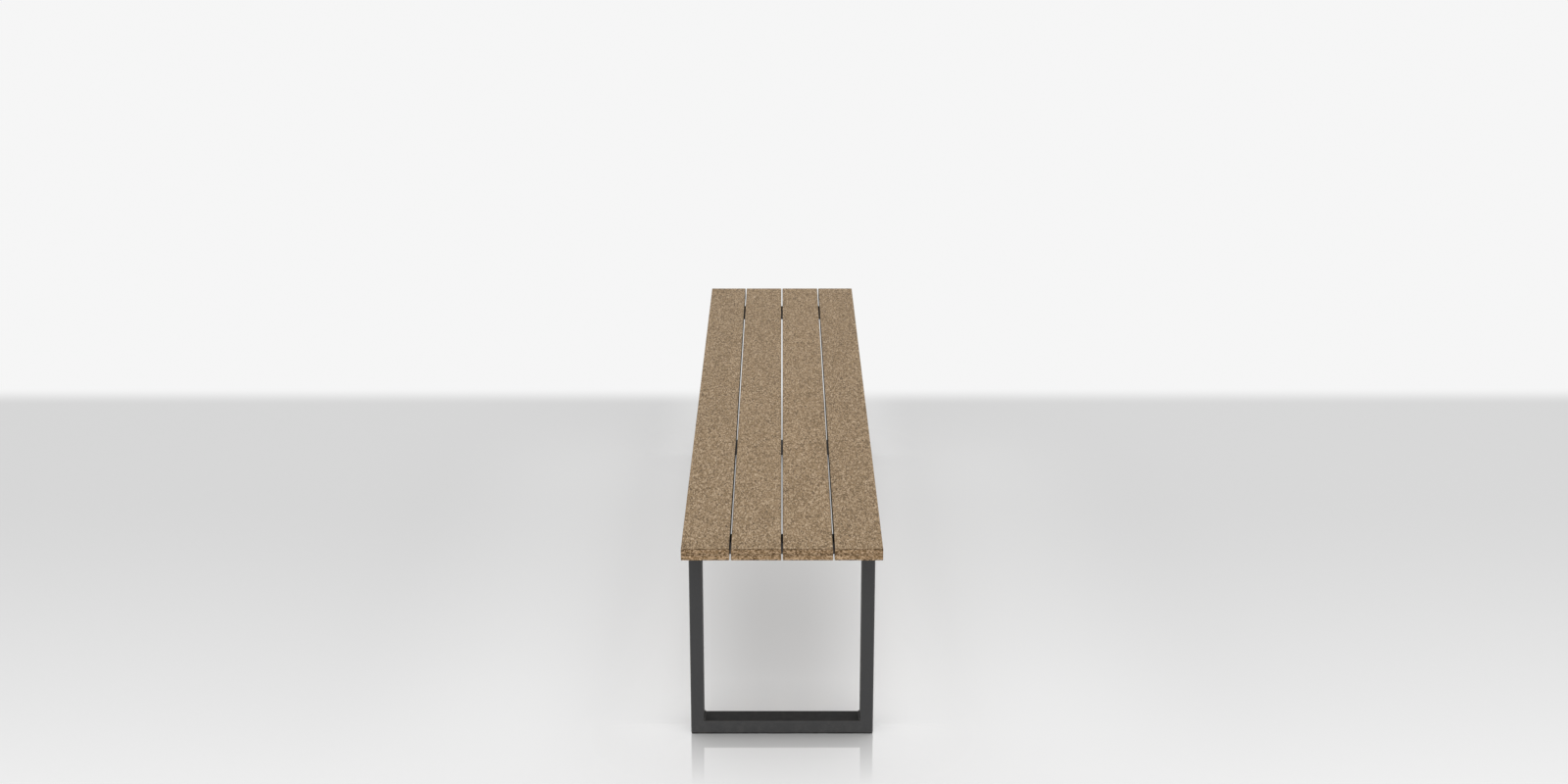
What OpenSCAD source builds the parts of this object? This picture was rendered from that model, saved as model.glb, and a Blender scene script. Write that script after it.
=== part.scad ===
// Backless bench: four composite slats on two closed rectangular tube loops.
// The bench runs along Y, its front end faces -Y, and it stands on the plane z = 0.

/* [Seat] */
// length of the seat, from end to end (mm)
seat_length = 1829; // [1200:1:2400]
// height of the seat's top above the floor (mm)
seat_height = 432; // [380:1:520]
// width of each of the two outer slats (mm)
outer_slat_w = 90.5; // [75:0.5:110]
// width of each of the two inner slats (mm)
inner_slat_w = 94; // [75:0.5:114]
// thickness of a slat (mm)
slat_t = 23.5; // [18:0.5:38]
// gap between neighbouring slats (mm)
slat_gap = 3; // [2:0.5:8]
// rounding of a slat's long edges (mm)
slat_edge_r = 1.5; // [0.5:0.25:4]

/* [Leg loops] */
// how far a loop is set in from the seat's end (mm)
end_overhang = 89; // [40:1:250]
// how far a loop is set in from the seat's sides (mm)
side_inset = 10; // [0:1:24]
// width of the tube, as seen from the bench's end (mm)
tube_w = 25.4; // [24:0.1:38]
// depth of the tube, along the bench (mm)
tube_d = 44.5; // [30:0.5:60]
// wall thickness of the tube (mm)
tube_wall = 2; // [1.5:0.1:2.8]
// outside corner radius of the tube (mm)
tube_r = 3; // [2.9:0.1:5]
// leg length of the weld in a loop's inside corners (mm)
corner_weld = 3; // [1.5:0.1:4]

/* [Glides] */
// thickness of a glide strip (mm)
glide_t = 4; // [3.5:0.1:8]
// how far a glide's long sides stop short of the bottom rail's sides (mm)
glide_margin = 3; // [2:0.5:8]
// how far a glide's ends stop short of the bottom rail's ends (mm)
glide_end_margin = 0.5; // [0.5:0.5:8]
// how far a glide's end screws sit from the loop's outline (mm)
glide_screw_inset = 45; // [32:1:80]

/* [Slat channels] */
// width of a channel, across the slat (mm)
channel_w = 40; // [30:1:60]
// depth of a channel below the slat (mm)
channel_d = 22; // [14:0.5:24]
// sheet thickness of a channel (mm)
channel_t = 2.5; // [1.5:0.1:4]
// inside bend radius of a channel (mm)
channel_bend_r = 1; // [0.5:0.1:3]
// number of screws along each channel
channel_screw_count = 5; // [3:1:9]
// distance from a channel's end to its first screw (mm)
channel_screw_inset = 90; // [40:1:160]
// leg length of the weld where a channel meets a top rail (mm)
channel_weld = 2.5; // [1.5:0.1:4]

/* [Slat screws] */
// shank diameter of a slat screw (mm)
screw_d = 5; // [4:0.1:6]
// head diameter of a slat screw (mm)
screw_head_d = 10; // [8:0.1:11]
// head height of a slat screw (mm)
screw_head_h = 3; // [2.4:0.1:4]
// length of a slat screw's point (mm)
screw_point = 4; // [2:0.1:6]
// slat left above the tip of a slat screw (mm)
screw_cover = 6; // [4:0.5:10]
// distance from a slat's edge to its nearest rail screw (mm)
screw_edge = 16; // [12:0.5:22]
// width across the flats of the drive socket (mm)
socket_af = 3; // [2:0.1:4]
// depth of the drive socket (mm)
socket_depth = 1.6; // [1:0.1:2]
// clearance round a shank in a metal hole, on the diameter (mm)
hole_clearance = 0.5; // [0.2:0.1:1]
// outside diameter of a rail washer (mm)
washer_d = 12.5; // [12:0.1:14]
// thickness of a rail washer (mm)
washer_t = 1.2; // [0.8:0.1:2]

/* [Glide screws] */
// shank diameter of a glide screw (mm)
glide_screw_d = 4; // [3:0.1:5]
// head diameter of a glide screw (mm)
glide_head_d = 8; // [7:0.1:9]
// height of a glide screw's countersunk head (mm)
glide_head_h = 2; // [1.5:0.1:2.2]
// how far a glide screw's head sits above the floor (mm)
glide_head_recess = 1; // [0.5:0.1:1.2]
// how far a glide screw reaches into the bottom rail (mm)
glide_screw_reach = 8; // [4:0.5:12]

/* [Hidden] */
$fn = 48;
eps = 1;

slat_colour = [0.60, 0.52, 0.43];
frame_colour = [0.20, 0.20, 0.20];
weld_colour = [0.24, 0.24, 0.24];
glide_colour = [0.06, 0.06, 0.06];
steel_colour = [0.72, 0.72, 0.74];

// slats, from the left side to the right
slat_widths = [outer_slat_w, inner_slat_w, inner_slat_w, outer_slat_w];
inner_slat_x = slat_gap / 2 + inner_slat_w / 2;
outer_slat_x = slat_gap * 1.5 + inner_slat_w + outer_slat_w / 2;
slat_centres = [-outer_slat_x, -inner_slat_x, inner_slat_x, outer_slat_x];
seat_w = 2 * outer_slat_w + 2 * inner_slat_w + 3 * slat_gap;
slat_z = seat_height - slat_t;

// leg loops
loop_w = seat_w - 2 * side_inset;
loop_top = slat_z;
loop_bottom = glide_t;
loop_y = seat_length / 2 - end_overhang - tube_d / 2;
front = -1;
rear = 1;
left = -1;
right = 1;

// slat channels run between the facing sides of the two top rails
channel_len = 2 * loop_y - tube_d;
channel_screw_step = (channel_len - 2 * channel_screw_inset) / (channel_screw_count - 1);

// rail screws: the outermost pair keeps its washers clear of the loop's corner welds
screw_tip_z = seat_height - screw_cover;
outer_screw_x = loop_w / 2 - tube_w - corner_weld - washer_d / 2 - 2;
rail_screw_half = [
    slat_gap / 2 + screw_edge,
    slat_gap / 2 + inner_slat_w - screw_edge,
    slat_gap * 1.5 + inner_slat_w + screw_edge,
    outer_screw_x
];
rail_screw_xs = [for (side = [left, right]) for (x = rail_screw_half) side * x];
channel_screw_ys = [
    for (i = [0 : channel_screw_count - 1]) -channel_len / 2 + channel_screw_inset + i * channel_screw_step
];
glide_screw_xs = [-(loop_w / 2 - glide_screw_inset), 0, loop_w / 2 - glide_screw_inset];

module rounded_rect(w, h, r) {
    square([w - 2 * r, h], center = true);
    square([w, h - 2 * r], center = true);
    for (x = [-1, 1], y = [-1, 1])
        translate([x * (w / 2 - r), y * (h / 2 - r)]) circle(r);
}

// tube along Z, tube_w wide in X and tube_d deep in Y
module tube(len) {
    linear_extrude(len) difference() {
        rounded_rect(tube_w, tube_d, tube_r);
        rounded_rect(tube_w - 2 * tube_wall, tube_d - 2 * tube_wall, max(tube_r - tube_wall, 0.2));
    }
}

// block with a mitred outline, drawn in X and Z and as deep as the tube
module mitre_block(outline) {
    translate([0, tube_d / 2, 0]) rotate([90, 0, 0]) linear_extrude(tube_d) polygon(outline);
}

module post(side) {
    outer = side * loop_w / 2;
    inner = side * (loop_w / 2 - tube_w);
    intersection() {
        translate([side * (loop_w / 2 - tube_w / 2), 0, loop_bottom]) tube(loop_top - loop_bottom);
        mitre_block([
            [outer, loop_bottom], [outer, loop_top],
            [inner, loop_top - tube_w], [inner, loop_bottom + tube_w]
        ]);
    }
}

// outside_z is the rail's outer face, and inside_z the face towards the opening
module rail(outside_z, inside_z) {
    intersection() {
        translate([-loop_w / 2, 0, (outside_z + inside_z) / 2]) rotate([0, 90, 0]) tube(loop_w);
        mitre_block([
            [-loop_w / 2, outside_z], [loop_w / 2, outside_z],
            [loop_w / 2 - tube_w, inside_z], [-loop_w / 2 + tube_w, inside_z]
        ]);
    }
}

module slat(i) {
    color(slat_colour) difference() {
        translate([slat_centres[i], seat_length / 2, slat_z + slat_t / 2]) rotate([90, 0, 0])
            linear_extrude(seat_length) rounded_rect(slat_widths[i], slat_t, slat_edge_r);
        for (x = rail_screw_xs, end = [front, rear])
            if (abs(x - slat_centres[i]) < slat_widths[i] / 2)
                translate([x, end * loop_y, 0]) screw_bore();
        for (y = channel_screw_ys) translate([slat_centres[i], y, 0]) screw_bore();
    }
}

module loop_post(end, side) {
    color(frame_colour) translate([0, end * loop_y, 0]) post(side);
}

module loop_top_rail(end) {
    color(frame_colour) translate([0, end * loop_y, 0]) difference() {
        rail(loop_top, loop_top - tube_w);
        for (x = rail_screw_xs)
            translate([x, 0, loop_top - tube_w - eps])
                cylinder(d = screw_d + hole_clearance, h = tube_w + 2 * eps);
    }
}

module loop_bottom_rail(end) {
    color(frame_colour) translate([0, end * loop_y, 0]) difference() {
        rail(loop_bottom, loop_bottom + tube_w);
        for (x = glide_screw_xs)
            translate([x, 0, loop_bottom - eps]) cylinder(d = glide_screw_d, h = tube_wall + 2 * eps);
    }
}

// quarter-round bead in each inside corner of a loop
module corner_welds(end) {
    bead_len = tube_d - 2 * tube_r;
    color(weld_colour) for (side = [left, right], level = [0, 1])
        translate([
            side * (loop_w / 2 - tube_w), end * loop_y + bead_len / 2,
            level == 1 ? loop_top - tube_w : loop_bottom + tube_w
        ])
            rotate([90, 0, 0]) linear_extrude(bead_len) intersection() {
                circle(corner_weld);
                translate([side == left ? 0 : -corner_weld, level == 1 ? -corner_weld : 0])
                    square(corner_weld);
            }
}

module glide(end) {
    color(glide_colour) translate([0, end * loop_y, 0]) difference() {
        linear_extrude(glide_t)
            rounded_rect(loop_w - 2 * glide_end_margin, tube_d - 2 * glide_margin, glide_margin);
        for (x = glide_screw_xs) translate([x, 0, 0]) {
            translate([0, 0, -eps]) cylinder(d = glide_head_d, h = glide_head_recess + eps);
            translate([0, 0, glide_head_recess])
                cylinder(d1 = glide_head_d, d2 = glide_screw_d, h = glide_head_h);
            cylinder(d = glide_screw_d, h = glide_t + eps);
        }
    }
}

module glide_screws(end) {
    tip_z = glide_t + tube_wall + glide_screw_reach;
    color(steel_colour) for (x = glide_screw_xs) translate([x, end * loop_y, 0]) difference() {
        union() {
            translate([0, 0, glide_head_recess])
                cylinder(d1 = glide_head_d, d2 = glide_screw_d, h = glide_head_h);
            translate([0, 0, glide_head_recess + glide_head_h / 2])
                cylinder(d = glide_screw_d, h = tip_z - glide_head_recess - glide_head_h / 2);
        }
        translate([0, 0, glide_head_recess - eps])
            cylinder(d = socket_af / cos(30), h = eps + glide_head_h * 0.6, $fn = 6);
    }
}

// sheet channel, open downwards, with its web against the slat
module slat_channel(i) {
    outer_r = channel_bend_r + channel_t;
    color(frame_colour) difference() {
        translate([slat_centres[i], channel_len / 2, slat_z]) rotate([90, 0, 0])
            linear_extrude(channel_len) difference() {
                channel_outline(channel_w, 0, outer_r);
                channel_outline(channel_w - 2 * channel_t, channel_t, channel_bend_r);
            }
        for (y = channel_screw_ys)
            translate([slat_centres[i], y, slat_z - channel_t - eps])
                cylinder(d = screw_d + hole_clearance, h = channel_t + 2 * eps);
    }
}

// half-open outline of a channel, drop below the slat, with its two upper corners rounded
module channel_outline(w, drop, r) {
    floor_y = drop > 0 ? -channel_d - eps : -channel_d;
    translate([-w / 2, floor_y]) square([w, -drop - r - floor_y]);
    translate([-w / 2 + r, floor_y]) square([w - 2 * r, -drop - floor_y]);
    for (side = [-1, 1]) translate([side * (w / 2 - r), -drop - r]) circle(r);
}

// upright quarter-round beads between a channel's two sides and a top rail
module channel_welds(end) {
    bead_top = slat_z - tube_r - channel_weld / 2;
    bead_bottom = slat_z - min(channel_d, tube_w - tube_r);
    color(weld_colour) for (x = slat_centres, side = [left, right])
        translate([x + side * channel_w / 2, end * (loop_y - tube_d / 2), bead_bottom])
            linear_extrude(bead_top - bead_bottom) intersection() {
                circle(channel_weld);
                translate([side == left ? -channel_weld : 0, end == rear ? -channel_weld : 0])
                    square(channel_weld);
            }
}

// pilot bore in a slat, from its underside to the tip of the screw
module screw_bore() {
    translate([0, 0, slat_z - eps]) cylinder(d = screw_d, h = screw_tip_z - screw_point - slat_z + eps);
    translate([0, 0, screw_tip_z - screw_point]) cylinder(d1 = screw_d, d2 = 1, h = screw_point);
}

// screw with a low domed head whose seat is at seat_z
module slat_screw(seat_z) {
    dome_r = (screw_head_d * screw_head_d / 4 + screw_head_h * screw_head_h) / (2 * screw_head_h);
    difference() {
        union() {
            intersection() {
                translate([0, 0, seat_z - screw_head_h + dome_r]) sphere(dome_r, $fn = 96);
                translate([0, 0, seat_z - screw_head_h]) cylinder(d = screw_head_d, h = screw_head_h);
            }
            translate([0, 0, seat_z - screw_head_h / 4])
                cylinder(d = screw_d, h = screw_tip_z - screw_point - seat_z + screw_head_h / 4);
            translate([0, 0, screw_tip_z - screw_point]) cylinder(d1 = screw_d, d2 = 1, h = screw_point);
        }
        translate([0, 0, seat_z - screw_head_h - eps])
            cylinder(d = socket_af / cos(30), h = socket_depth + eps, $fn = 6);
    }
}

module rail_screws(end) {
    color(steel_colour) for (x = rail_screw_xs)
        translate([x, end * loop_y, 0]) slat_screw(loop_top - tube_w - washer_t);
}

module rail_washers(end) {
    color(steel_colour) for (x = rail_screw_xs)
        translate([x, end * loop_y, loop_top - tube_w - washer_t]) difference() {
            cylinder(d = washer_d, h = washer_t);
            translate([0, 0, -eps]) cylinder(d = screw_d + hole_clearance, h = washer_t + 2 * eps);
        }
}

module channel_screws() {
    color(steel_colour) for (x = slat_centres, y = channel_screw_ys)
        translate([x, y, 0]) slat_screw(slat_z - channel_t);
}

slat(0);  // slat_1
slat(1);  // slat_2
slat(2);  // slat_3
slat(3);  // slat_4
loop_post(front, left);  // front_left_post
loop_post(front, right);  // front_right_post
loop_top_rail(front);  // front_top_rail
loop_bottom_rail(front);  // front_bottom_rail
loop_post(rear, left);  // rear_left_post
loop_post(rear, right);  // rear_right_post
loop_top_rail(rear);  // rear_top_rail
loop_bottom_rail(rear);  // rear_bottom_rail
corner_welds(front);  // front_corner_welds
corner_welds(rear);  // rear_corner_welds
glide(front);  // front_glide
glide(rear);  // rear_glide
glide_screws(front);  // front_glide_screws
glide_screws(rear);  // rear_glide_screws
slat_channel(0);  // slat_channel_1
slat_channel(1);  // slat_channel_2
slat_channel(2);  // slat_channel_3
slat_channel(3);  // slat_channel_4
channel_welds(front);  // front_channel_welds
channel_welds(rear);  // rear_channel_welds
channel_screws();
rail_screws(front);  // front_rail_screws
rail_screws(rear);  // rear_rail_screws
rail_washers(front);  // front_rail_washers
rail_washers(rear);  // rear_rail_washers
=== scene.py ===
import math

import bmesh
import bpy
from bpy.props import FloatProperty, FloatVectorProperty, PointerProperty
from bpy.types import Operator, Panel, PropertyGroup
from mathutils import Matrix, Vector


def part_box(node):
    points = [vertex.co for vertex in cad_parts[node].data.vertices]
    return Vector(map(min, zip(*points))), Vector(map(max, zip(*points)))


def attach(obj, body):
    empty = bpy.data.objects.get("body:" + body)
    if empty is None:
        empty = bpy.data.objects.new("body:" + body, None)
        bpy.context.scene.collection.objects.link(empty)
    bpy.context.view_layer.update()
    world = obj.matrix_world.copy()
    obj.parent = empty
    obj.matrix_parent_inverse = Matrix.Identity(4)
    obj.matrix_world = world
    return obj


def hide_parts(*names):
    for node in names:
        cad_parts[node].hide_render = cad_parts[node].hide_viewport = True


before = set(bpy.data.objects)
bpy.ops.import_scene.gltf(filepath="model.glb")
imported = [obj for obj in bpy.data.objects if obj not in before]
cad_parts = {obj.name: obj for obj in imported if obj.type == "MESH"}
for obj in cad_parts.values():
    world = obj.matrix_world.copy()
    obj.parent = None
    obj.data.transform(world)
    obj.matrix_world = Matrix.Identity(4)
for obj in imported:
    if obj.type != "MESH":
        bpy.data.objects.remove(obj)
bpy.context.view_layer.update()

bl_info = {
    "name": "Backless Bench",
    "version": (1, 0, 0),
    "blender": (4, 5, 0),
    "location": "View3D > Sidebar > Bench",
    "description": "Composite slats, coated tube loops and a studio stage for a backless bench",
    "category": "Add Mesh",
}

SLATS = ("slat_1", "slat_2", "slat_3", "slat_4")
ENDS = ("front", "rear")
ALIGNED = 0.999  # How closely an edge or a face has to follow an axis to count as lying along it.


# ---------------------------------------------------------------------------
# Settings


def length(name, description, default, **limits):
    return FloatProperty(
        name=name, description=description, default=default, unit="LENGTH", precision=4, **limits
    )


def share(name, description, default):
    return FloatProperty(
        name=name, description=description, default=default, min=0.0, max=1.0, subtype="FACTOR"
    )


def turn(name, description, degrees):
    return FloatProperty(
        name=name, description=description, default=math.radians(degrees), subtype="ANGLE"
    )


def colour(name, description, *tone):
    return FloatVectorProperty(
        name=name,
        description=description,
        default=(*tone, 1.0),
        subtype="COLOR",
        size=4,
        min=0.0,
        max=1.0,
    )


class BenchSlatSettings(PropertyGroup):
    """Sizes and colours of the composite slats."""

    edge_radius: length("Edge Radius", "Rounding of the long edges", 0.0015, min=0.0002, max=0.004)
    sawn_arris: length("Sawn Arris", "Small bevel round the sawn ends", 0.0006, min=0.0001, max=0.002)
    fleck_width: length("Fleck Width", "Width of a fleck on the faces", 0.0021, min=0.001, max=0.02)
    fleck_length: length("Fleck Length", "Length of a fleck along a slat", 0.0066, min=0.001, max=0.06)
    chip_width: length("Chip Width", "Width of a cut chip on a sawn end", 0.0031, min=0.001, max=0.02)
    chip_height: length("Chip Height", "Height of a cut chip on a sawn end", 0.0018, min=0.001, max=0.02)
    dark: colour("Dark Flecks", "Colour of the darkest flecks", 0.076, 0.042, 0.013)
    middle: colour("Body Colour", "Main colour of the slats", 0.275, 0.181, 0.088)
    light: colour("Light Flecks", "Colour of the lightest flecks", 0.565, 0.428, 0.290)
    # Painted shade: how dark the slats' sides are inside the gaps.
    gap_shade: share("Painted Gap Shade", "How dark the slats' sides are inside the gaps", 0.95)
    end_tint: colour("Sawn Tint", "Multiplies the colour on the sawn ends", 1.0, 0.93, 0.86)


class BenchFrameSettings(PropertyGroup):
    """Sizes and colours of the coated steel frame."""

    tube_radius: length("Tube Radius", "Outside corner radius of the leg tube", 0.003, min=0.001, max=0.006)
    tube_wall: length("Tube Wall", "Wall thickness of the leg tube", 0.002, min=0.001, max=0.003)
    bead_radius: length("Corner Weld", "Radius of the welds inside a loop", 0.003, min=0.001, max=0.005)
    side_bead_radius: length(
        "Channel Weld", "Radius of the welds beside a channel", 0.0025, min=0.001, max=0.005
    )
    ripple_pitch: length("Ripple Pitch", "From one weld ripple to the next", 0.0022, min=0.001, max=0.005)
    dressed_band: length("Dressed Band", "Half width of a mitre's ground strip", 0.006, min=0.002, max=0.02)
    coat: colour("Powder Coat", "Charcoal coating on the frame", 0.051, 0.051, 0.052)
    coat_roughness: share("Coat Roughness", "Roughness of the powder coat", 0.6)
    # Painted shade that darkens the frame's upward faces, which lie under the seat.
    painted_top_shade: share("Painted Top Shade", "Tone of the upward faces, which the seat keeps from fading", 0.27)
    steel: colour("Fastener Steel", "Bare stainless steel of the screws", 0.52, 0.52, 0.53)
    glide: colour("Glide", "Black strip under each loop", 0.020, 0.020, 0.021)
    scuffed: colour("Scuffed Glide", "Where a glide is scuffed", 0.07, 0.068, 0.065)
    # This colour also serves for the painted highlight on the coat's rounded edges.
    dust: colour("Dust", "Pale dust that settles low down", 0.30, 0.28, 0.25)


class BenchStageSettings(PropertyGroup):
    """The floor, the light and the camera."""

    # Floor Near and Floor Far grade the floor darker towards the back: painted shade.
    floor_near: colour("Floor Near", "Floor colour in front of the bench", 0.876, 0.876, 0.876)
    floor_far: colour("Floor Far", "Floor colour behind the bench", 0.705, 0.705, 0.705)
    backdrop: colour("Backdrop", "Light that comes from beyond the far line", 0.92, 0.92, 0.92)
    # Painted light on the floor round the bench and close beside the loops, which thins the bench's shadow.
    floor_lift: share("Floor Lift", "How much paler the floor is round the bench", 0.18)
    beside_lift: share("Beside Lift", "How much paler again it is close beside the loops", 0.10)
    # Painted shadow on the floor under the seat.
    under_front: share("Under Front", "How much darker it is under the seat's front half", 0.157)
    under_rear: share("Under Rear", "How much darker it is under the seat's rear half", 0.20)
    floor_glow: share("Floor Glow", "Share of the floor's brightness that it gives itself", 0.06)
    floor_mirror: share("Floor Mirror", "Strength of the mirror image right beside the feet", 0.42)
    mirror_reach: length("Mirror Reach", "How far a loop's mirror image reaches", 0.2, min=0.01, max=2.0)
    mirror_gap: share("Mirror Gap", "How much the mirror image weakens between the posts", 0.95)
    floor_roughness: share("Floor Roughness", "Roughness of the mirror image", 0.03)
    far_line: length("Far Line", "Where the floor meets the backdrop, along Y", 1.291, min=0.9, max=10.0)
    far_blend: length("Far Blend", "Half width of the soft edge at the far line", 0.08, min=0.01, max=1.0)
    sky: FloatProperty(
        name="Sky", description="Brightness of the even surrounding light", default=0.92, min=0.0, max=5.0
    )
    key_power: FloatProperty(
        name="Key Power", description="Power of the large soft light", default=22.0, min=0.0, unit="POWER"
    )
    camera_distance: length("Camera Distance", "From the bench's middle to the camera", 4.4634)
    camera_height: length("Camera Height", "Height of the camera above the floor", 1.9109)
    camera_dip: turn("Camera Dip", "How far the camera looks down", 18.26)
    camera_turn: turn("Camera Turn", "How far the camera looks to the right", 0.06)
    lens: FloatProperty(
        name="Lens", description="Focal length of the camera in millimetres", default=47.2, min=10.0
    )


# ---------------------------------------------------------------------------
# Node helpers


def wire(tree, source, target):
    """Links a socket, or sets a plain value."""
    if isinstance(source, bpy.types.NodeSocket):
        tree.links.new(source, target)
    else:
        target.default_value = source


def place(tree, kind, inputs=None, **settings):
    made = tree.nodes.new("ShaderNode" + kind)
    for key, value in settings.items():
        setattr(made, key, value)
    for key, value in (inputs or {}).items():
        wire(tree, value, made.inputs[key])
    return made


def maths(tree, operation, first, second=0.0, clamp=False):
    made = place(tree, "Math", {0: first, 1: second}, operation=operation, use_clamp=clamp)
    return made.outputs[0]


def times(tree, first, second, clamp=False):
    return maths(tree, "MULTIPLY", first, second, clamp)


def plus(tree, first, second, clamp=False):
    return maths(tree, "ADD", first, second, clamp)


def minus(tree, first, second):
    return maths(tree, "SUBTRACT", first, second)


def size_of(tree, value):
    return maths(tree, "ABSOLUTE", value)


def vectors(tree, operation, first, second=(0.0, 0.0, 0.0)):
    return place(tree, "VectorMath", {0: first, 1: second}, operation=operation).outputs[0]


def scaled(tree, vector, amount):
    """A vector or colour times one number."""
    source = vector if isinstance(vector, bpy.types.NodeSocket) else tuple(vector)[:3]
    return place(tree, "VectorMath", {0: source, "Scale": amount}, operation="SCALE").outputs[0]


def slope(tree, value, low, high, to_low=0.0, to_high=1.0, kind="LINEAR"):
    """Runs from to_low at low to to_high at high, and stays level beyond them."""
    given = {"Value": value, "From Min": low, "From Max": high, "To Min": to_low, "To Max": to_high}
    return place(tree, "MapRange", given, interpolation_type=kind).outputs["Result"]


def smooth(tree, value, low, high, to_low=0.0, to_high=1.0):
    """A slope that eases in and out."""
    return slope(tree, value, low, high, to_low, to_high, "SMOOTHSTEP")


def mix_values(tree, factor, first, second):
    return place(tree, "Mix", {0: factor, 2: first, 3: second}, data_type="FLOAT").outputs[0]


def mix_vectors(tree, factor, first, second):
    return place(tree, "Mix", {0: factor, 4: first, 5: second}, data_type="VECTOR").outputs[1]


def mix_colours(tree, factor, first, second, blend="MIX"):
    given = {0: factor, 6: first, 7: second}
    return place(tree, "Mix", given, data_type="RGBA", blend_type=blend).outputs[2]


def noise(tree, vector, scale, detail=2.0, roughness=0.5):
    given = {"Vector": vector, "Scale": scale, "Detail": detail, "Roughness": roughness}
    return place(tree, "TexNoise", given).outputs


def stretched_noise(tree, position, scales, detail=2.0, roughness=0.5):
    """Noise with its own scale along each axis."""
    return noise(tree, vectors(tree, "MULTIPLY", position, scales), 1.0, detail, roughness)["Fac"]


def centred(tree, colour_socket):
    """A noise colour moved to lie evenly round zero."""
    return vectors(tree, "SUBTRACT", colour_socket, (0.5, 0.5, 0.5))


def cells(tree, vector, scale):
    return place(tree, "TexVoronoi", {"Vector": vector, "Scale": scale}, feature="F1").outputs


def red(tree, colour_socket):
    return place(tree, "SeparateColor", {0: colour_socket}).outputs[0]


def axes(tree, vector):
    return place(tree, "SeparateXYZ", {0: vector}).outputs


def new_group(name, inputs, outputs):
    tree = bpy.data.node_groups.new(name, "ShaderNodeTree")
    for label, kind, default in inputs:
        socket = tree.interface.new_socket(name=label, in_out="INPUT", socket_type="NodeSocket" + kind)
        socket.default_value = default
    for label, kind in outputs:
        tree.interface.new_socket(name=label, in_out="OUTPUT", socket_type="NodeSocket" + kind)
    return tree, tree.nodes.new("NodeGroupInput").outputs, tree.nodes.new("NodeGroupOutput").inputs


def use_group(tree, name, inputs):
    made = tree.nodes.new("ShaderNodeGroup")
    made.node_tree = bpy.data.node_groups[name]
    for key, value in inputs.items():
        wire(tree, value, made.inputs[key])
    return made.outputs


# ---------------------------------------------------------------------------
# Shared effects


def facing_group():
    """Tells rounded edges, sawn ends and upward faces apart by the way they face."""
    edge, end, up = (0.985, 0.80), (0.55, 0.85), (0.5, 0.95)
    tree, given, result = new_group(
        "Facing", [("Normal", "Vector", (0, 0, 1))], [("Edge", "Float"), ("End", "Float"), ("Up", "Float")]
    )
    x, y, z = axes(tree, given["Normal"])
    across, along, upright = (size_of(tree, part) for part in (x, y, z))
    largest = maths(tree, "MAXIMUM", maths(tree, "MAXIMUM", across, along), upright)
    wire(tree, smooth(tree, largest, *edge), result["Edge"])
    wire(tree, smooth(tree, along, *end), result["End"])
    wire(tree, smooth(tree, z, *up), result["Up"])


def board_flecks_group():
    """Pressed flecks of a composite board: long on its faces, and cut across on its sawn ends."""
    ragged_scale, ragged_push = 1.3, 1.1
    frayed_scale, frayed_push = 5.5, 0.55
    small_scale, large_share, small_share = 1.9, 0.56, 0.44
    face_contrast, end_contrast = 1.1, 1.65
    dark_level, middle_level, light_level = 0.02, 0.5, 0.98
    grain_scale, cloud_scale = 1400.0, 11.0
    streak_scales, fibre_scales = (260.0, 9.0, 260.0), (1900.0, 190.0, 1900.0)
    dullest, grain_share, fibre_share, streak_share, cloud_share = 0.66, 0.18, 0.32, 0.10, 0.08
    smoothest, fleck_roughness, grain_roughness = 0.56, 0.16, 0.08
    fleck_height, grain_height = 0.7, 0.3

    tree, given, result = new_group(
        "Board Flecks",
        [
            ("Position", "Vector", (0, 0, 0)),
            ("Seed", "Vector", (0, 0, 0)),
            ("End", "Float", 0.0),
            ("Fleck Size", "Vector", (0.0036, 0.013, 0.003)),
            ("Chip Size", "Vector", (0.0068, 0.013, 0.003)),
            ("Dark", "Color", (0.1, 0.06, 0.03, 1)),
            ("Middle", "Color", (0.3, 0.2, 0.1, 1)),
            ("Light", "Color", (0.5, 0.4, 0.3, 1)),
        ],
        [("Colour", "Color"), ("Roughness", "Float"), ("Height", "Float")],
    )
    spot = vectors(tree, "ADD", given["Position"], given["Seed"])
    size = mix_vectors(tree, given["End"], given["Fleck Size"], given["Chip Size"])
    cell = vectors(tree, "DIVIDE", spot, size)
    ragged = centred(tree, noise(tree, cell, ragged_scale)["Color"])
    frayed = centred(tree, noise(tree, cell, frayed_scale, detail=3.0, roughness=0.6)["Color"])
    cell = vectors(tree, "ADD", cell, scaled(tree, ragged, ragged_push))
    cell = vectors(tree, "ADD", cell, scaled(tree, frayed, frayed_push))
    large = red(tree, cells(tree, cell, 1.0)["Color"])
    small = red(tree, cells(tree, cell, small_scale)["Color"])
    tone = plus(tree, times(tree, large, large_share), times(tree, small, small_share))
    contrast = mix_values(tree, given["End"], face_contrast, end_contrast)
    tone = plus(tree, times(tree, minus(tree, tone, 0.5), contrast), 0.5, clamp=True)
    dark_to_middle = smooth(tree, tone, dark_level, middle_level)
    body = mix_colours(tree, dark_to_middle, given["Dark"], given["Middle"])
    body = mix_colours(tree, smooth(tree, tone, middle_level, light_level), body, given["Light"])

    grain = noise(tree, spot, grain_scale)["Fac"]
    fibre = stretched_noise(tree, spot, fibre_scales, detail=3.0, roughness=0.6)
    streak = stretched_noise(tree, spot, streak_scales)
    cloud = noise(tree, spot, cloud_scale)["Fac"]
    parts = ((grain, grain_share), (fibre, fibre_share), (streak, streak_share), (cloud, cloud_share))
    shade = dullest
    for part, amount in parts:
        shade = plus(tree, shade, times(tree, part, amount))
    wire(tree, scaled(tree, body, shade), result["Colour"])
    rough = plus(tree, smoothest, times(tree, tone, fleck_roughness))
    wire(tree, plus(tree, rough, times(tree, grain, grain_roughness)), result["Roughness"])
    height = plus(tree, times(tree, tone, fleck_height), times(tree, grain, grain_height))
    wire(tree, height, result["Height"])


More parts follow.
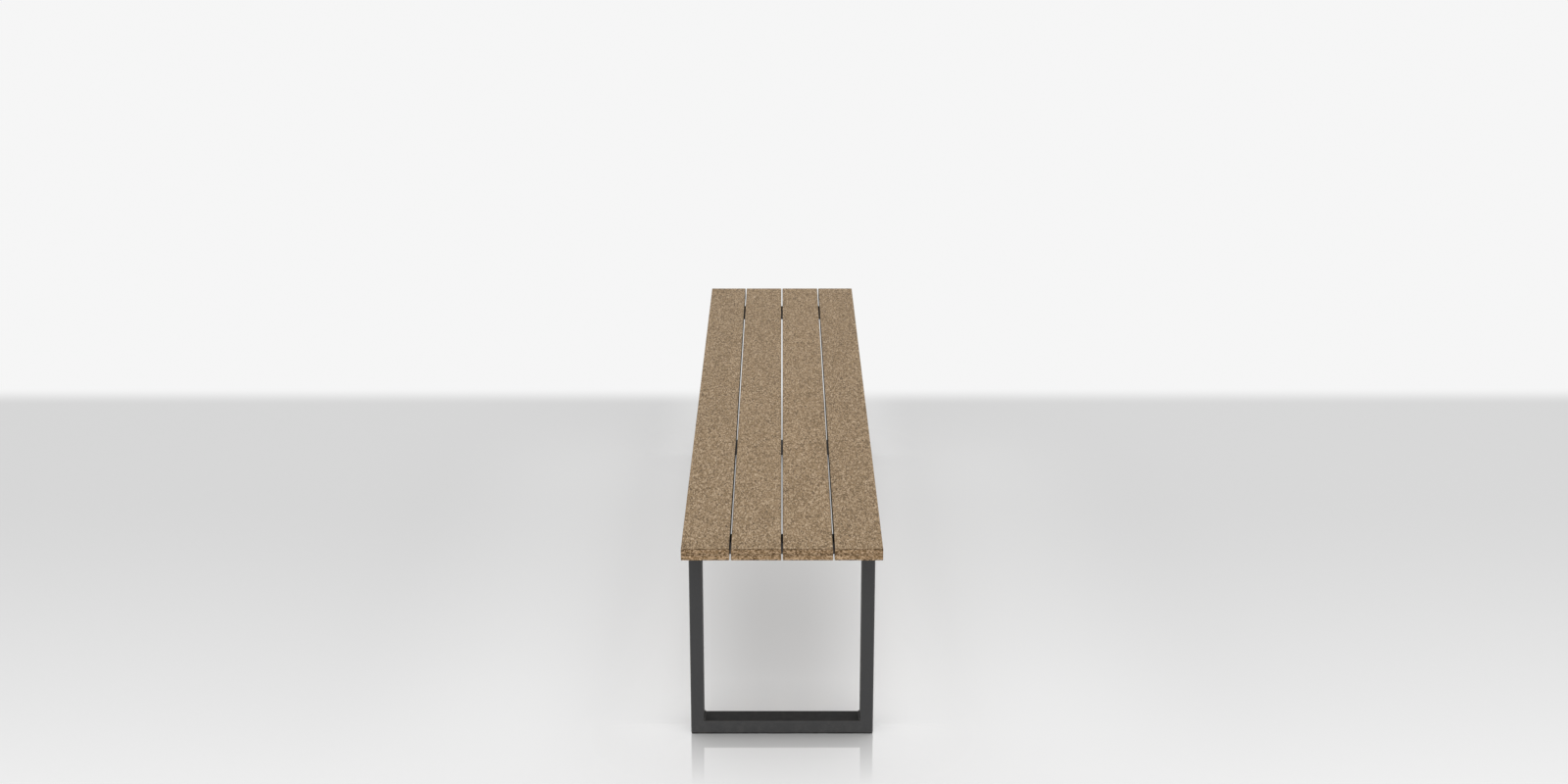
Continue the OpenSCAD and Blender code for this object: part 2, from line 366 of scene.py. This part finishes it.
def sawn_layers_group():
    """Layers on a board's sawn end: dark skins above and below, and a dark and a pale row between."""
    # A level is 0 at the underside and 1 at the top.
    # Each skin is the level where it starts, the level where it is full, and its change in shade.
    skins = ((0.86, 0.94, -0.40), (0.10, 0.02, -0.22))
    # Each row is its middle, its reach, the reach of its full strength, and its change in shade.
    rows = ((0.50, 0.16, 0.03, -0.25), (0.23, 0.14, 0.02, 0.14))
    between_rows, wobble_scale, wobble_height = 1.04, 160.0, 0.16

    tree, given, result = new_group(
        "Sawn Layers",
        [("Position", "Vector", (0, 0, 0)), ("Bottom", "Float", 0.4085), ("Top", "Float", 0.432)],
        [("Shade", "Float")],
    )
    z = axes(tree, given["Position"])[2]
    thickness = minus(tree, given["Top"], given["Bottom"])
    level = maths(tree, "DIVIDE", minus(tree, z, given["Bottom"]), thickness)
    wobble = minus(tree, noise(tree, given["Position"], wobble_scale)["Fac"], 0.5)
    level = plus(tree, level, times(tree, wobble, wobble_height))
    shade = between_rows
    for starts, full, change in skins:
        shade = plus(tree, shade, smooth(tree, level, starts, full, 0.0, change))
    for middle, reach, full, change in rows:
        off = size_of(tree, minus(tree, level, middle))
        shade = plus(tree, shade, smooth(tree, off, reach, full, 0.0, change))
    wire(tree, shade, result["Shade"])


def painted_gap_shade_group():
    """Painted shade on the upright sides of a board, where the gaps keep the light out, reaching up its
    rounded edges.
    """
    starts, full = 0.20, 0.80
    patch_scale, thinnest, patch_share = 45.0, 0.75, 0.5
    tree, given, result = new_group(
        "Painted Gap Shade",
        [("Position", "Vector", (0, 0, 0)), ("Normal", "Vector", (0, 0, 1))],
        [("Mask", "Float")],
    )
    sideways = size_of(tree, axes(tree, given["Normal"])[0])
    patchy = noise(tree, given["Position"], patch_scale, detail=3.0)["Fac"]
    shade_strength = plus(tree, thinnest, times(tree, patchy, patch_share), clamp=True)
    wire(tree, times(tree, smooth(tree, sideways, starts, full), shade_strength), result["Mask"])


def coat_skin_group():
    """Fine orange-peel skin of a powder coat, with slight mottling."""
    peel_scale, grit_scale, cloud_scale = 620.0, 1500.0, 16.0
    sparkle_from, sparkle = 0.93, 0.35
    dullest, cloud_share, cloud_roughness, grit_depth = 0.93, 0.14, 0.16, 0.25
    tree, given, result = new_group(
        "Coat Skin",
        [
            ("Position", "Vector", (0, 0, 0)),
            ("Colour", "Color", (0.05, 0.05, 0.05, 1)),
            ("Roughness", "Float", 0.5),
        ],
        [("Colour", "Color"), ("Roughness", "Float"), ("Height", "Float")],
    )
    peel = noise(tree, given["Position"], peel_scale, roughness=0.55)["Fac"]
    grit = cells(tree, given["Position"], grit_scale)
    cloud = noise(tree, given["Position"], cloud_scale, detail=3.0)["Fac"]
    bright = smooth(tree, red(tree, grit["Color"]), sparkle_from, 1.0, 0.0, sparkle)
    shade = plus(tree, plus(tree, dullest, times(tree, cloud, cloud_share)), bright)
    wire(tree, scaled(tree, given["Colour"], shade), result["Colour"])
    mottle = times(tree, minus(tree, cloud, 0.5), cloud_roughness)
    wire(tree, plus(tree, given["Roughness"], mottle), result["Roughness"])
    wire(tree, minus(tree, peel, times(tree, grit["Distance"], grit_depth)), result["Height"])


def settled_dust_group():
    """Thin dust on upward faces and close to the floor."""
    low_height, patch_scale, patch_levels = 0.05, 70.0, (0.35, 0.75)
    tree, given, result = new_group(
        "Settled Dust",
        [
            ("Position", "Vector", (0, 0, 0)),
            ("Up", "Float", 0.0),
            ("Colour", "Color", (0.05, 0.05, 0.05, 1)),
            ("Dust", "Color", (0.3, 0.28, 0.25, 1)),
            ("On Top", "Float", 0.05),
            ("Low Down", "Float", 0.08),
        ],
        [("Colour", "Color"), ("Mask", "Float")],
    )
    z = axes(tree, given["Position"])[2]
    patchy = noise(tree, given["Position"], patch_scale, detail=4.0, roughness=0.65)["Fac"]
    patchy = smooth(tree, patchy, *patch_levels)
    low = times(tree, smooth(tree, z, low_height, 0.0), given["Low Down"])
    top = times(tree, given["Up"], given["On Top"])
    mask = times(tree, plus(tree, low, top), patchy, clamp=True)
    wire(tree, mix_colours(tree, mask, given["Colour"], given["Dust"]), result["Colour"])
    wire(tree, mask, result["Mask"])


def dressed_mitre_group():
    """Strip along each mitre where the weld was ground flush before coating."""
    wander_scale, wander_width = 120.0, 0.004
    full_share, grind_scales = 0.45, (500.0, 500.0, 120.0)
    tree, given, result = new_group(
        "Dressed Mitre",
        [
            ("Position", "Vector", (0, 0, 0)),
            ("Half Width", "Float", 0.179),
            ("Top", "Float", 0.4085),
            ("Bottom", "Float", 0.004),
            ("Band", "Float", 0.006),
        ],
        [("Mask", "Float"), ("Height", "Float")],
    )
    x, _, z = axes(tree, given["Position"])
    inset = minus(tree, given["Half Width"], size_of(tree, x))
    above, below = minus(tree, given["Top"], z), minus(tree, z, given["Bottom"])
    off = size_of(tree, minus(tree, inset, maths(tree, "MINIMUM", above, below)))
    wander = minus(tree, noise(tree, given["Position"], wander_scale)["Fac"], 0.5)
    off = plus(tree, times(tree, off, math.sqrt(0.5)), times(tree, wander, wander_width))
    mask = smooth(tree, off, given["Band"], times(tree, given["Band"], full_share))
    wire(tree, mask, result["Mask"])
    ground = stretched_noise(tree, given["Position"], grind_scales)
    wire(tree, times(tree, mask, ground), result["Height"])


# ---------------------------------------------------------------------------
# Materials


def new_material(name):
    made = bpy.data.materials.new(name)
    made.use_nodes = True
    tree = made.node_tree
    return made, tree, tree.nodes["Principled BSDF"], place(tree, "TexCoord").outputs["Object"]


def facing_of(tree):
    """The surface's normal, and what the Facing group tells from it."""
    normal = place(tree, "NewGeometry").outputs["Normal"]
    return normal, use_group(tree, "Facing", {"Normal": normal})


def finish_material(made, tree, shader, skin, roughness, height, depth, strength):
    """Wires a finished skin, and bumps it by up to the given depth in metres."""
    wire(tree, skin, shader.inputs["Base Color"])
    wire(tree, roughness, shader.inputs["Roughness"])
    bump = place(tree, "Bump", {"Height": height, "Strength": strength, "Distance": depth})
    wire(tree, bump.outputs["Normal"], shader.inputs["Normal"])
    return made


def painted_gap_shade_mask(tree, node, middle, position, normal):
    """Painted shade on a slat's sides in the gaps. An outer slat gets none beyond its middle, on its outer
    side.
    """
    mask = use_group(tree, "Painted Gap Shade", {"Position": position, "Normal": normal})["Mask"]
    if node not in (SLATS[0], SLATS[-1]):
        return mask
    inwards = times(tree, axes(tree, position)[0], -math.copysign(1.0, middle))
    return times(tree, mask, maths(tree, "GREATER_THAN", inwards, -abs(middle)))


def composite_material(name, node, seed, warmth):
    """One board's own run of flecks, a touch warmer or cooler than its neighbours."""
    edge_wear_and_highlight, edge_polish = 0.18, 0.08
    look = bpy.context.scene.bench_slats
    low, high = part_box(node)
    made, tree, shader, position = new_material(name)
    normal, facing = facing_of(tree)
    flecks = use_group(
        tree,
        "Board Flecks",
        {
            "Position": position,
            "Seed": seed,
            "End": facing["End"],
            "Fleck Size": (look.fleck_width, look.fleck_length, look.chip_height),
            "Chip Size": (look.chip_width, look.fleck_length, look.chip_height),
            "Dark": look.dark,
            "Middle": look.middle,
            "Light": look.light,
        },
    )
    tint = mix_colours(tree, facing["End"], warmth, look.end_tint)
    skin = mix_colours(tree, 1.0, flecks["Colour"], tint, "MULTIPLY")
    layers = use_group(tree, "Sawn Layers", {"Position": position, "Bottom": low.z, "Top": high.z})
    skin = scaled(tree, skin, mix_values(tree, facing["End"], 1.0, layers["Shade"]))
    # Edge wear: the slats' rounded edges paler and smoother, in the light fleck colour.
    skin = mix_colours(tree, times(tree, facing["Edge"], edge_wear_and_highlight), skin, look.light)
    gap_shade = painted_gap_shade_mask(tree, node, (low.x + high.x) / 2, position, normal)
    # Painted shade darkens the slats' sides in the gaps.
    skin = scaled(tree, skin, minus(tree, 1.0, times(tree, gap_shade, look.gap_shade)))
    roughness = minus(tree, flecks["Roughness"], times(tree, facing["Edge"], edge_polish))
    # The painted gap shade also makes those sides fully rough, so they show no sheen.
    roughness = mix_values(tree, gap_shade, roughness, 1.0)
    shader.inputs["Specular IOR Level"].default_value = 0.35
    return finish_material(made, tree, shader, skin, roughness, flecks["Height"], depth=0.0005, strength=0.6)


def coated_material(name, dust_low=0.08, dust_top=0.01, mitres=False, peel=0.00006):
    """Charcoal powder coat, paler at its edges with a painted highlight, and darker on its upward faces with
    painted shade.
    """
    mitre_polish, mitre_height, edge_wear_and_highlight, dust_roughness = 0.05, 1.2, 0.08, 0.5
    look = bpy.context.scene.bench_frame
    made, tree, shader, position = new_material(name)
    _, facing = facing_of(tree)
    coat = use_group(
        tree, "Coat Skin", {"Position": position, "Colour": look.coat, "Roughness": look.coat_roughness}
    )
    roughness, height = coat["Roughness"], coat["Height"]
    if mitres:
        low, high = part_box("front_left_post")
        mitre = use_group(
            tree,
            "Dressed Mitre",
            {
                "Position": position,
                "Half Width": -low.x,
                "Top": high.z,
                "Bottom": low.z,
                "Band": look.dressed_band,
            },
        )
        roughness = minus(tree, roughness, times(tree, mitre["Mask"], mitre_polish))
        height = plus(tree, height, times(tree, mitre["Height"], mitre_height))
    # Painted shade: the upward faces darker.
    skin = scaled(tree, coat["Colour"], mix_values(tree, facing["Up"], 1.0, look.painted_top_shade))
    # Painted highlight: the rounded edges paler, in the dust colour.
    skin = mix_colours(tree, times(tree, facing["Edge"], edge_wear_and_highlight), skin, look.dust)
    dust = use_group(
        tree,
        "Settled Dust",
        {
            "Position": position,
            "Up": facing["Up"],
            "Colour": skin,
            "Dust": look.dust,
            "On Top": dust_top,
            "Low Down": dust_low,
        },
    )
    roughness = plus(tree, roughness, times(tree, dust["Mask"], dust_roughness), clamp=True)
    shader.inputs["Specular IOR Level"].default_value = 0.28
    return finish_material(made, tree, shader, dust["Colour"], roughness, height, depth=peel, strength=0.8)


def steel_material(name):
    """Bright stainless steel, turned marks and all."""
    mark_scales, cloud_scale = (900.0, 900.0, 5200.0), 240.0
    dullest, cloud_share, smoothest, mark_roughness = 0.82, 0.30, 0.24, 0.24
    look = bpy.context.scene.bench_frame
    made, tree, shader, position = new_material(name)
    marks = stretched_noise(tree, position, mark_scales, detail=3.0, roughness=0.6)
    cloud = noise(tree, position, cloud_scale)["Fac"]
    skin = scaled(tree, look.steel, plus(tree, dullest, times(tree, cloud, cloud_share)))
    roughness = plus(tree, smoothest, times(tree, marks, mark_roughness))
    shader.inputs["Metallic"].default_value = 1.0
    return finish_material(made, tree, shader, skin, roughness, marks, depth=0.00004, strength=0.5)


def glide_material(name):
    """Black strip with scuffs and dust where it meets the floor."""
    scuff_scales, scuff_levels, most_scuffed = (60.0, 300.0, 900.0), (0.55, 0.8), 0.35
    pebble_scale, dust_top, dust_low = 1100.0, 0.05, 0.12
    smoothest, scuff_roughness = 0.55, 0.3
    look = bpy.context.scene.bench_frame
    made, tree, shader, position = new_material(name)
    _, facing = facing_of(tree)
    scuff = stretched_noise(tree, position, scuff_scales, detail=4.0, roughness=0.6)
    pebble = noise(tree, position, pebble_scale)["Fac"]
    scuffed = smooth(tree, scuff, *scuff_levels, 0.0, most_scuffed)
    rubbed = mix_colours(tree, scuffed, look.glide, look.scuffed)
    dust = use_group(
        tree,
        "Settled Dust",
        {
            "Position": position,
            "Up": facing["Up"],
            "Colour": rubbed,
            "Dust": look.dust,
            "On Top": dust_top,
            "Low Down": dust_low,
        },
    )
    roughness = plus(tree, smoothest, times(tree, scuff, scuff_roughness))
    skin = dust["Colour"]
    return finish_material(made, tree, shader, skin, roughness, pebble, depth=0.00008, strength=0.7)


def floor_tone(tree, beside, along, y):
    """Floor colour with painted light and shade: darker towards the back, painted light round the bench, and
    a painted shadow under the seat.
    """
    # Each pair is where a zone starts and where it is full, in metres from the bench's middle,
    # but for front_end, which counts from front_middle.
    rear_to_front, ease = (0.45, -1.05), 1.5
    round_side, round_end = (0.95, 0.25), (1.25, 0.55)
    loop_side, loop_front = (0.38, 0.22), (-1.00, -0.70)
    front_side, front_end, front_middle = (0.26, 0.03), (0.75, 0.05), -0.40
    rear_side, rear_start, rear_end = (0.30, 0.10), (0.05, 0.60), (1.10, 0.75)

    stage = bpy.context.scene.bench_stage
    # Painted shade: darker towards the back.
    forward = maths(tree, "POWER", slope(tree, y, *rear_to_front), ease)
    tone = mix_colours(tree, forward, stage.floor_far, stage.floor_near)
    # Painted light round the bench and close beside the loops.
    around = times(tree, smooth(tree, beside, *round_side), smooth(tree, along, *round_end))
    tone = scaled(tree, tone, plus(tree, 1.0, times(tree, around, stage.floor_lift)))
    close = times(tree, smooth(tree, beside, *loop_side), smooth(tree, y, *loop_front))
    tone = scaled(tree, tone, plus(tree, 1.0, times(tree, close, stage.beside_lift)))
    # Painted shadow under the seat's front half, and then under its rear half.
    front = smooth(tree, size_of(tree, minus(tree, y, front_middle)), *front_end)
    front = times(tree, times(tree, smooth(tree, beside, *front_side), front), stage.under_front)
    rear = times(tree, smooth(tree, y, *rear_start), smooth(tree, y, *rear_end))
    rear = times(tree, times(tree, smooth(tree, beside, *rear_side), rear), stage.under_rear)
    return scaled(tree, tone, minus(tree, 1.0, plus(tree, front, rear)))


def floor_polish(tree, beside, along):
    """How mirror-like the floor is: most beside the feet, and little between the mirrored posts."""
    # The pairs are distances in metres. The mirrored opening narrows by the taper as it runs outwards.
    inner_ends, inner_polish = (0.77, 0.80), 0.3
    between_posts, taper, beyond_rail = (0.1545, 0.1525), 0.036, (0.052, 0.058)

    stage = bpy.context.scene.bench_stage
    low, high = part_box("rear_bottom_rail")
    off_x = maths(tree, "MAXIMUM", minus(tree, beside, high.x), 0.0)
    off_y = size_of(tree, minus(tree, along, (low.y + high.y) / 2))
    off_y = maths(tree, "MAXIMUM", minus(tree, off_y, (high.y - low.y) / 2), 0.0)
    off = plus(tree, maths(tree, "POWER", off_x, 2.0), maths(tree, "POWER", off_y, 2.0))
    polish = slope(tree, maths(tree, "SQRT", off), 0.0, stage.mirror_reach, 1.0, 0.0)
    polish = times(tree, polish, smooth(tree, along, *inner_ends, inner_polish, 1.0))
    before = minus(tree, along, high.y)
    between = smooth(tree, plus(tree, beside, times(tree, before, taper)), *between_posts)
    between = times(tree, between, smooth(tree, before, *beyond_rail, 0.0, stage.mirror_gap))
    return times(tree, polish, minus(tree, 1.0, between))


def floor_material(name):
    """Pale polished floor that turns into a plain pale backdrop beyond its far line."""
    stage = bpy.context.scene.bench_stage
    made, tree, shader, position = new_material(name)
    x, y, _ = axes(tree, position)
    beside, along = size_of(tree, x), size_of(tree, y)
    tone = floor_tone(tree, beside, along, y)
    polish = floor_polish(tree, beside, along)
    beyond = smooth(tree, y, stage.far_line - stage.far_blend, stage.far_line + stage.far_blend)
    glow = times(tree, minus(tree, 1.0, polish), stage.floor_glow)
    lit = scaled(tree, tone, minus(tree, 1.0, glow))
    wire(tree, mix_colours(tree, beyond, lit, (0.0, 0.0, 0.0, 1.0)), shader.inputs["Base Color"])
    mirror = times(tree, polish, minus(tree, stage.floor_mirror, beyond), clamp=True)
    wire(tree, mirror, shader.inputs["Metallic"])
    shader.inputs["Roughness"].default_value = stage.floor_roughness
    shader.inputs["Specular IOR Level"].default_value = 0.0
    glowing = mix_colours(tree, beyond, scaled(tree, tone, glow), stage.backdrop)
    wire(tree, glowing, shader.inputs["Emission Color"])
    shader.inputs["Emission Strength"].default_value = 1.0
    return made


# ---------------------------------------------------------------------------
# Shapes


def box_mesh(low, high):
    bm = bmesh.new()
    bmesh.ops.create_cube(bm, size=1.0)
    bmesh.ops.scale(bm, vec=high - low, verts=bm.verts)
    bmesh.ops.translate(bm, vec=(high + low) / 2, verts=bm.verts)
    return bm


def edges_along(bm, axis):
    """Edges that run along one axis only."""
    found = []
    for edge in bm.edges:
        run = (edge.verts[1].co - edge.verts[0].co).normalized()
        if abs(run[axis]) > ALIGNED:
            found.append(edge)
    return found


def round_edges(bm, edges, radius, segments):
    bmesh.ops.bevel(
        bm,
        geom=edges,
        offset=radius,
        offset_type="OFFSET",
        segments=segments,
        profile=0.5,
        affect="EDGES",
        clamp_overlap=True,
        material=-1,
    )


def end_faces(bm, axis):
    return [face for face in bm.faces if abs(face.normal[axis]) > ALIGNED]


def board_shape(low, high, radius, arris):
    """A board along Y with rounded long edges and slightly eased sawn ends."""
    bm = box_mesh(low, high)
    round_edges(bm, edges_along(bm, 1), radius, segments=4)
    bm.normal_update()
    rims = {edge for face in end_faces(bm, 1) for edge in face.edges}
    round_edges(bm, list(rims), arris, segments=2)
    return bm


def mitred_tube_shape(low, high, axis, radius, wall, mitres):
    """Hollow rounded tube along an axis. Each mitre is a point on its cut, and the way the cut faces."""
    spare = Vector((0.0, 0.0, 0.0))
    spare[axis] = 0.01
    bm = box_mesh(low - spare, high + spare)
    bmesh.ops.delete(bm, geom=end_faces(bm, axis), context="FACES_ONLY")
    round_edges(bm, edges_along(bm, axis), radius, segments=6)
    bmesh.ops.solidify(bm, geom=bm.faces[:], thickness=wall)
    for point, facing in mitres:
        cut = bmesh.ops.bisect_plane(
            bm,
            geom=bm.verts[:] + bm.edges[:] + bm.faces[:],
            dist=1e-7,
            plane_co=point,
            plane_no=facing,
            clear_outer=True,
        )["geom_cut"]
        bmesh.ops.bridge_loops(bm, edges=[part for part in cut if isinstance(part, bmesh.types.BMEdge)])
    bmesh.ops.recalc_face_normals(bm, faces=bm.faces[:])
    return bm


def add_weld_bead(bm, radius, run, pitch, to_place):
    """Rippled bead along Y, centred on the origin and then put in its place."""
    sides, toe = 14, 0.72 * radius
    # Each step of a ripple: its share of the ripple's length, and its share of the radius.
    waves = ((0.30, 1.00), (0.30, 1.02), (0.40, 0.87))
    ripples = max(int(run / pitch), 2)
    steps = [(part * run / ripples, radius * swell) for part, swell in waves] * ripples
    steps[-1] = (steps[-1][0], toe)

    turned = Matrix.Rotation(math.pi / 2, 4, "X")
    start = Matrix.Translation((0.0, -run / 2, 0.0)) @ turned
    ring = bmesh.ops.create_circle(bm, segments=sides, radius=toe, matrix=start)["verts"]
    bead = list(ring)
    edges = list({edge for vert in ring for edge in vert.link_edges})
    width = toe
    for step, target in steps:
        grown = bmesh.ops.extrude_edge_only(bm, edges=edges)["geom"]
        ring = [part for part in grown if isinstance(part, bmesh.types.BMVert)]
        edges = [part for part in grown if isinstance(part, bmesh.types.BMEdge)]
        edges = [edge for edge in edges if all(vert in ring for vert in edge.verts)]
        bmesh.ops.translate(bm, vec=(0.0, step, 0.0), verts=ring)
        centre = sum((vert.co for vert in ring), Vector()) / len(ring)
        factor = target / width
        bmesh.ops.scale(bm, vec=(factor, 1.0, factor), space=Matrix.Translation(-centre), verts=ring)
        width = target
        bead += ring
    bmesh.ops.transform(bm, matrix=to_place, verts=bead)


def close_beads(bm):
    bmesh.ops.holes_fill(bm, edges=[edge for edge in bm.edges if edge.is_boundary], sides=0)
    bmesh.ops.recalc_face_normals(bm, faces=bm.faces[:])


def new_mesh(name, bm, material):
    mesh = bpy.data.meshes.new(name)
    bm.to_mesh(mesh)
    bm.free()
    mesh.materials.append(material)
    return mesh


def new_object(name, data):
    made = bpy.data.objects.new(name, data)
    bpy.context.scene.collection.objects.link(made)
    return made


def add_piece(name, bm, material, nodes, sharp=35.0):
    """Turns a finished bmesh into a piece that rides on the bench and stands for its CAD nodes."""
    mesh = new_mesh(name, bm, material)
    mesh.shade_smooth()
    mesh.set_sharp_from_angle(angle=math.radians(sharp))
    piece = new_object(name, mesh)
    shading = piece.modifiers.new("Even Shading", "WEIGHTED_NORMAL")
    shading.keep_sharp = True
    shading.weight = 80
    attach(piece, "root")
    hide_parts(*nodes)
    return piece


def dress_node(name, material):
    """Gives a CAD node that keeps its own shape a finished material."""
    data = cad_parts[name].data
    data.materials.clear()
    data.materials.append(material)


# ---------------------------------------------------------------------------
# Operators


class BENCH_OT_slats(Operator):
    """Build the four composite slats"""

    bl_idname = "bench.slats"
    bl_label = "Slats"

    def execute(self, context):
        look = context.scene.bench_slats
        seed_step = (0.37, 1.91, 0.53)
        warmths = (
            (0.985, 0.985, 0.985, 1.0),
            (1.0, 1.0, 1.0, 1.0),
            (1.01, 1.005, 1.0, 1.0),
            (0.975, 0.97, 0.965, 1.0),
        )
        for number, (node, warmth) in enumerate(zip(SLATS, warmths), 1):
            low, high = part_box(node)
            seed = tuple(step * number for step in seed_step)
            material = composite_material(f"composite_{number}", node, seed, warmth)
            shape = board_shape(low, high, look.edge_radius, look.sawn_arris)
            add_piece(f"composite_slat_{number}", shape, material, [node])
        return {"FINISHED"}


class BENCH_OT_leg_loops(Operator):
    """Build the mitred tubes of the front and rear leg loops"""

    bl_idname = "bench.leg_loops"
    bl_label = "Leg Loops"

    def execute(self, context):
        look = context.scene.bench_frame
        coat = coated_material("charcoal_coat_tube", mitres=True)
        for end in ENDS:
            low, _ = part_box(f"{end}_left_post")
            _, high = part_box(f"{end}_right_post")
            corners = {
                (side, level): Vector((x, 0.0, z))
                for side, x in ((-1, low.x), (1, high.x))
                for level, z in ((-1, low.z), (1, high.z))
            }
            # Each tube: its part, its axis, the corners where it is cut, and the way its cuts face.
            tubes = (
                ("left_post", 2, ((-1, 1), (-1, -1)), 1),
                ("right_post", 2, ((1, 1), (1, -1)), 1),
                ("top_rail", 0, ((-1, 1), (1, 1)), -1),
                ("bottom_rail", 0, ((-1, -1), (1, -1)), -1),
            )
            for part, axis, cuts, outward in tubes:
                mitres = []
                for side, level in cuts:
                    facing = Vector((-side, 0.0, level)) * outward
                    mitres.append((corners[side, level], facing.normalized()))
                node = f"{end}_{part}"
                shape = mitred_tube_shape(*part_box(node), axis, look.tube_radius, look.tube_wall, mitres)
                add_piece(f"{end}_{part}_tube", shape, coat, [node])
        return {"FINISHED"}


class BENCH_OT_corner_welds(Operator):
    """Lay the weld beads in the inside corners of both loops"""

    bl_idname = "bench.corner_welds"
    bl_label = "Corner Welds"

    def execute(self, context):
        look = context.scene.bench_frame
        coat = coated_material("charcoal_coat_weld", dust_low=0.06, peel=0.00012)
        for end in ENDS:
            node = f"{end}_corner_welds"
            low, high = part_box(node)
            bm = bmesh.new()
            for x in (low.x, high.x):
                for z in (low.z, high.z):
                    spot = Matrix.Translation((x, (low.y + high.y) / 2, z))
                    add_weld_bead(bm, look.bead_radius, high.y - low.y, look.ripple_pitch, spot)
            close_beads(bm)
            add_piece(f"{end}_corner_beads", bm, coat, [node], sharp=50.0)
        return {"FINISHED"}


class BENCH_OT_channels(Operator):
    """Finish the four channels under the slats and weld them to the loops"""

    bl_idname = "bench.channels"
    bl_label = "Slat Channels"

    def execute(self, context):
        look = context.scene.bench_frame
        coat = coated_material("charcoal_coat_channel", dust_low=0.0, dust_top=0.02)
        weld_coat = coated_material("charcoal_coat_side_weld", dust_low=0.0, peel=0.00012)
        numbers = range(1, len(SLATS) + 1)
        for number in numbers:
            dress_node(f"slat_channel_{number}", coat)
        stand_up = Matrix.Rotation(math.pi / 2, 4, "X")
        for end in ENDS:
            node = f"{end}_channel_welds"
            low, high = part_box(node)
            y = high.y if end == "rear" else low.y
            bm = bmesh.new()
            for number in numbers:
                left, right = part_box(f"slat_channel_{number}")
                for x in (left.x, right.x):
                    spot = Matrix.Translation((x, y, (low.z + high.z) / 2)) @ stand_up
                    add_weld_bead(bm, look.side_bead_radius, high.z - low.z, look.ripple_pitch, spot)
            close_beads(bm)
            add_piece(f"{end}_channel_beads", bm, weld_coat, [node], sharp=50.0)
        return {"FINISHED"}


class BENCH_OT_fasteners(Operator):
    """Finish the slat screws, the washers and the glide screws"""

    bl_idname = "bench.fasteners"
    bl_label = "Fasteners"

    def execute(self, context):
        steel = steel_material("stainless_steel")
        dress_node("channel_screws", steel)
        for end in ENDS:
            for part in ("rail_screws", "rail_washers", "glide_screws"):
                dress_node(f"{end}_{part}", steel)
        return {"FINISHED"}


class BENCH_OT_glides(Operator):
    """Finish the glide strips under both loops"""

    bl_idname = "bench.glides"
    bl_label = "Glides"

    def execute(self, context):
        rubber = glide_material("black_glide")
        for end in ENDS:
            dress_node(f"{end}_glide", rubber)
        return {"FINISHED"}


class BENCH_OT_stage(Operator):
    """Set up the floor, the soft light and the camera"""

    bl_idname = "bench.stage"
    bl_label = "Stage"

    def execute(self, context):
        floor_size, sensor_width, clip_end = 40.0, 36.0, 200.0
        lamp_size, lamp_spot, lamp_aim = (5.0, 4.0), Vector((0.9, -1.8, 4.4)), Vector((0.0, 0.0, 0.3))
        stage = context.scene.bench_stage
        bm = bmesh.new()
        bmesh.ops.create_grid(bm, x_segments=8, y_segments=8, size=floor_size)
        floor = new_object("floor", new_mesh("floor", bm, floor_material("pale_floor")))

        sky = bpy.data.worlds.new("studio")
        sky.use_nodes = True
        light = sky.node_tree.nodes["Background"]
        light.inputs["Color"].default_value = (1.0, 1.0, 1.0, 1.0)
        light.inputs["Strength"].default_value = stage.sky
        context.scene.world = sky

        lamp = bpy.data.lights.new("key", "AREA")
        lamp.shape = "RECTANGLE"
        lamp.size, lamp.size_y = lamp_size
        lamp.energy = stage.key_power
        key = new_object("key", lamp)
        key.location = lamp_spot
        key.rotation_euler = (lamp_aim - lamp_spot).to_track_quat("-Z", "Y").to_euler()

        view = bpy.data.cameras.new("camera")
        view.sensor_width = sensor_width
        view.lens = stage.lens
        view.clip_end = clip_end
        camera = new_object("camera", view)
        camera.location = (0.0, -stage.camera_distance, stage.camera_height)
        camera.rotation_euler = (math.pi / 2 - stage.camera_dip, 0.0, -stage.camera_turn)
        context.scene.camera = camera
        context.scene.view_settings.view_transform = "Standard"
        return {"FINISHED"}


class BENCH_PT_panel(Panel):
    """Steps and settings of the bench"""

    bl_idname = "BENCH_PT_panel"
    bl_label = "Backless Bench"
    bl_space_type = "VIEW_3D"
    bl_region_type = "UI"
    bl_category = "Bench"

    def draw(self, context):
        layout = self.layout
        for step in STEPS:
            layout.operator(step.bl_idname)
        for group in (context.scene.bench_slats, context.scene.bench_frame, context.scene.bench_stage):
            section = layout.box()
            for name in group.__annotations__:
                section.prop(group, name)


SETTINGS = {
    "bench_slats": BenchSlatSettings,
    "bench_frame": BenchFrameSettings,
    "bench_stage": BenchStageSettings,
}
STEPS = (
    BENCH_OT_stage,
    BENCH_OT_slats,
    BENCH_OT_leg_loops,
    BENCH_OT_corner_welds,
    BENCH_OT_channels,
    BENCH_OT_fasteners,
    BENCH_OT_glides,
)


def register():
    for kind in (*SETTINGS.values(), *STEPS, BENCH_PT_panel):
        bpy.utils.register_class(kind)
    for name, kind in SETTINGS.items():
        setattr(bpy.types.Scene, name, PointerProperty(type=kind))


def unregister():
    for name in SETTINGS:
        delattr(bpy.types.Scene, name)
    for kind in reversed((*SETTINGS.values(), *STEPS, BENCH_PT_panel)):
        bpy.utils.unregister_class(kind)


def main():
    register()
    facing_group()
    board_flecks_group()
    sawn_layers_group()
    painted_gap_shade_group()
    coat_skin_group()
    settled_dust_group()
    dressed_mitre_group()
    bpy.ops.bench.stage()
    bpy.ops.bench.slats()
    bpy.ops.bench.leg_loops()
    bpy.ops.bench.corner_welds()
    bpy.ops.bench.channels()
    bpy.ops.bench.fasteners()
    bpy.ops.bench.glides()


if __name__ == "__main__":
    main()
